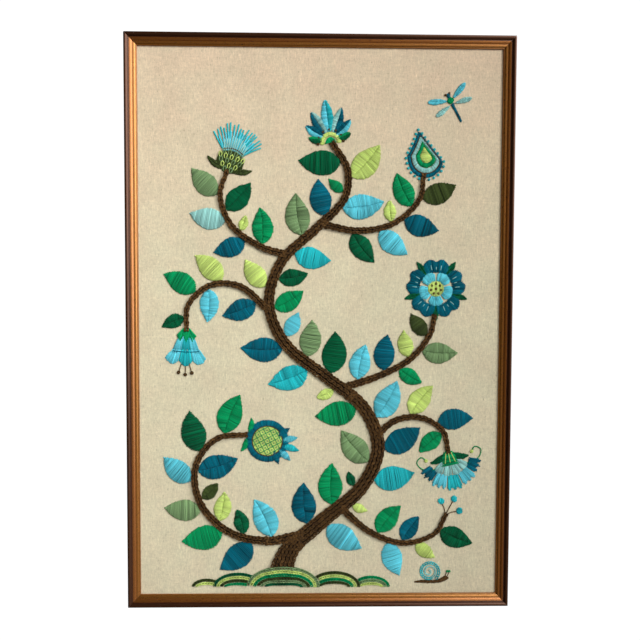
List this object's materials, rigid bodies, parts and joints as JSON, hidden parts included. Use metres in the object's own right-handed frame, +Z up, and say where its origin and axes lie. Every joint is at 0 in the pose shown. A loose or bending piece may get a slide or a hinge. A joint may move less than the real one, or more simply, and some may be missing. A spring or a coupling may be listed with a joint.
{
  "type": "framed crewel embroidery panel",
  "caption": "Crewel wool embroidery on natural linen, stretched over a plain board in a narrow moulded wooden frame, to hang upright on a wall.",
  "frame": {"origin": "middle of the top rail's flat back, where the frame meets the wall", "axes": "+X to the viewer's right along the picture, +Y out of the flat back into the wall, +Z up along the picture"},
  "size_m": [0.636, 0.02, 0.944],
  "materials": {
    "frame_wood": "dark walnut stained rim and bronze gilt inner steps, satin",
    "board": "plain grey-brown fibre board, matt",
    "linen": "natural unbleached plain-weave linen",
    "wool_brown": "crewel wool",
    "wool_teal": "crewel wool",
    "wool_aqua": "crewel wool",
    "wool_sky": "crewel wool",
    "wool_turquoise": "crewel wool",
    "wool_emerald": "crewel wool",
    "wool_green": "crewel wool",
    "wool_lime": "crewel wool",
    "wool_sage": "crewel wool",
    "wool_olive": "crewel wool"
  },
  "bodies": {
    "root": {"rail_top": "frame_wood", "rail_bottom": "frame_wood", "rail_left": "frame_wood", "rail_right": "frame_wood", "linen": "linen", "back_board": "board"}
  },
  "joints": []
}
